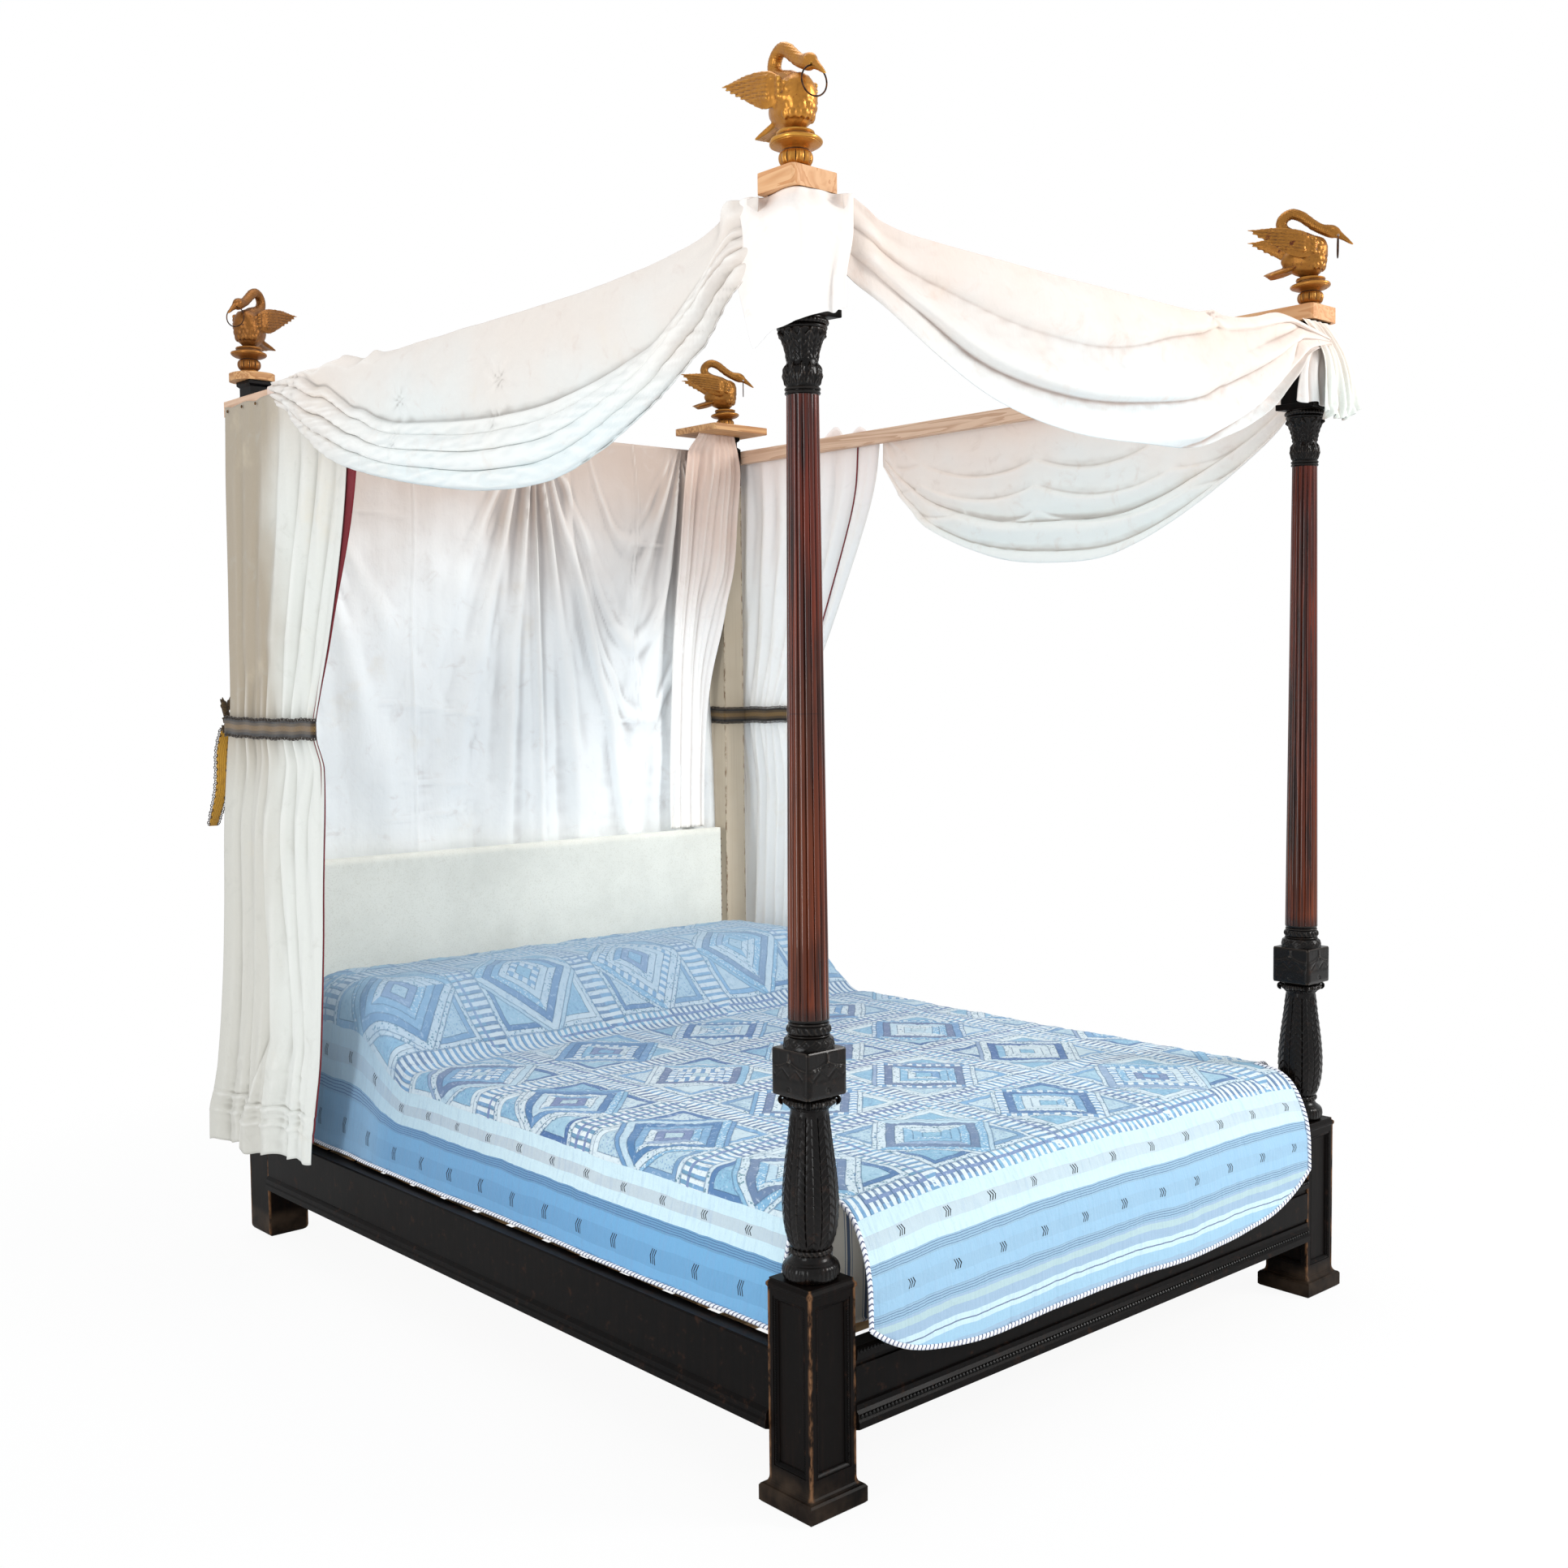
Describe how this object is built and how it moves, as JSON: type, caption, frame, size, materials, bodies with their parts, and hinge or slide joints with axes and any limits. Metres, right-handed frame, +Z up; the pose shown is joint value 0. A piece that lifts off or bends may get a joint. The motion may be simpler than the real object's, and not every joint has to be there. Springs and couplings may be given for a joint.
{
  "type": "four poster canopy bed",
  "caption": "Four poster canopy bed with carved foot posts, swan finials, draped cotton hangings held by braid, an upholstered headboard and a patchwork quilt.",
  "frame": {"origin": "on the floor under the middle of the bed", "axes": "+X to the right seen from the foot, +Y towards the headboard, +Z up"},
  "size_m": [1.8826, 2.3665, 2.562],
  "materials": {
    "ebonised_wood": "dark polish, rubbed brown on the edges",
    "mahogany": "glossy polish",
    "painted_wood": "cream paint",
    "gilt_wood": "gilding over red bole, worn",
    "ring_metal": "dark bronze patina",
    "pine": "bare planed pine",
    "steel": "plain",
    "nail_brass": "antiqued",
    "headboard_cloth": "plain weave",
    "ticking": "plain weave",
    "quilt_cloth": "cotton patchwork",
    "braid": "woven braid",
    "cotton": "washed cotton"
  },
  "bodies": {
    "bedstead": {"foot_left_plinth": "ebonised_wood", "foot_left_vase": "ebonised_wood", "foot_left_block": "ebonised_wood", "foot_left_column": "mahogany", "foot_left_capital": "ebonised_wood", "foot_left_top_block": "ebonised_wood", "foot_right_plinth": "ebonised_wood", "foot_right_vase": "ebonised_wood", "foot_right_block": "ebonised_wood", "foot_right_column": "mahogany", "foot_right_capital": "ebonised_wood", "foot_right_top_block": "ebonised_wood", "head_left_leg": "ebonised_wood", "head_left_post": "painted_wood", "head_left_capital": "ebonised_wood", "head_right_leg": "ebonised_wood", "head_right_post": "painted_wood", "head_right_capital": "ebonised_wood", "foot_left_board": "pine", "foot_right_board": "pine", "head_left_board": "pine", "head_right_board": "pine", "foot_left_pedestal": "gilt_wood", "foot_right_pedestal": "gilt_wood", "head_left_pedestal": "gilt_wood", "head_right_pedestal": "gilt_wood", "foot_left_swan": "gilt_wood", "foot_right_swan": "gilt_wood", "head_left_swan": "gilt_wood", "head_right_swan": "gilt_wood", "tester_batten_left": "pine", "tester_batten_right": "pine", "tester_batten_foot": "pine", "tester_batten_head": "pine", "side_rail_left": "ebonised_wood", "side_rail_right": "ebonised_wood", "foot_rail": "ebonised_wood", "head_rail": "ebonised_wood", "slats": "pine", "slat_ledgers": "pine", "rail_bolts": "steel", "headboard": "headboard_cloth", "headboard_nails": "nail_brass", "mattress": "ticking", "pillows": "ticking", "quilt": "quilt_cloth", "back_curtain": "cotton", "left_curtain": "cotton", "right_curtain": "cotton", "left_swag": "cotton", "right_swag": "cotton", "foot_swag": "cotton", "foot_left_tail": "cotton", "foot_right_tail": "cotton", "head_right_drape": "cotton", "tiebacks": "braid"},
    "foot_left_ring": {"foot_left_beak_ring": "ring_metal"},
    "foot_right_ring": {"foot_right_beak_ring": "ring_metal"},
    "head_left_ring": {"head_left_beak_ring": "ring_metal"},
    "head_right_ring": {"head_right_beak_ring": "ring_metal"}
  },
  "joints": [
    {"name": "foot_left_ring_swing", "type": "hinge", "parent": "bedstead", "child": "foot_left_ring", "pos_m": [-0.81637, -1.11283, 2.49315], "axis": [-0.9848, 0.1736, 0], "range_deg": [-20, 90]},
    {"name": "foot_right_ring_swing", "type": "hinge", "parent": "bedstead", "child": "foot_right_ring", "pos_m": [0.84054, -1.1161, 2.48415], "axis": [-0.8387, -0.5446, 0], "range_deg": [-20, 90]},
    {"name": "head_left_ring_swing", "type": "hinge", "parent": "bedstead", "child": "head_left_ring", "pos_m": [-0.86252, 1.0376, 2.44915], "axis": [-0.5592, 0.829, 0], "range_deg": [-20, 90]},
    {"name": "head_right_ring_swing", "type": "hinge", "parent": "bedstead", "child": "head_right_ring", "pos_m": [0.85108, 1.01481, 2.44315], "axis": [-0.6561, -0.7547, 0], "range_deg": [-20, 90]}
  ]
}
